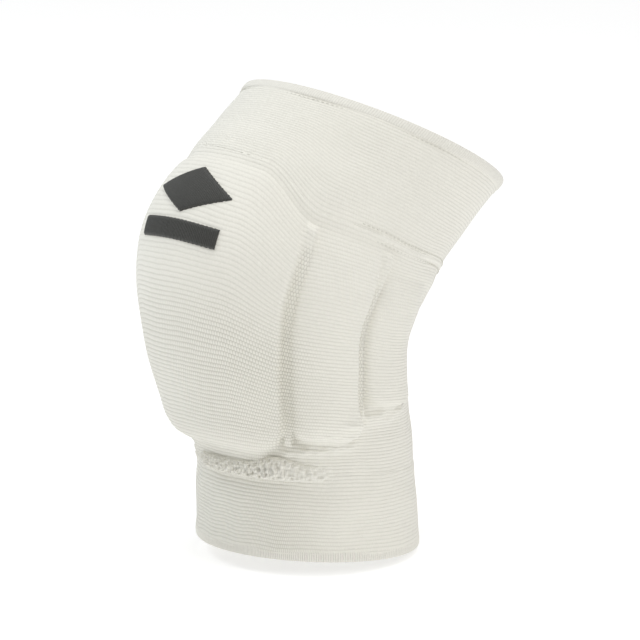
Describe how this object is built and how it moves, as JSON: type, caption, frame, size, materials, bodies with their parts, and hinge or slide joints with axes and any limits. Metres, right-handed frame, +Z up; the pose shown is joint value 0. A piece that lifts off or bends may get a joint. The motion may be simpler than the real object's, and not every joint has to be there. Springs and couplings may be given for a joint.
{
  "type": "volleyball knee pad",
  "caption": "Knitted sleeve knee pad in its worn, bent form: a padded knee panel with grooved side pads, a gathered lower seam and folded hems round an open leg hollow.",
  "frame": {"origin": "middle of the leg hollow at the knee, in the section through the middle of the bend", "axes": "+Z up along the standing shin, -Y to the front of the knee, +X to the wearer's left"},
  "size_m": [0.1376, 0.1981, 0.2384],
  "materials": {
    "knit": "ribbed off-white knit",
    "hem_knit": "folded off-white knit with stitches",
    "foam": "soft white foam",
    "thread": "satin charcoal embroidery"
  },
  "bodies": {
    "root": {"calf_hem": "hem_knit", "calf_cuff": "knit", "lower_seam": "hem_knit", "knee_panel": "knit", "upper_seam": "hem_knit", "thigh_cuff": "knit", "thigh_hem": "hem_knit", "kneecap_pad": "foam", "left_side_pad": "foam", "right_side_pad": "foam", "left_rear_pad": "foam", "right_rear_pad": "foam", "front_diamond": "thread", "front_bar": "thread"}
  },
  "joints": []
}
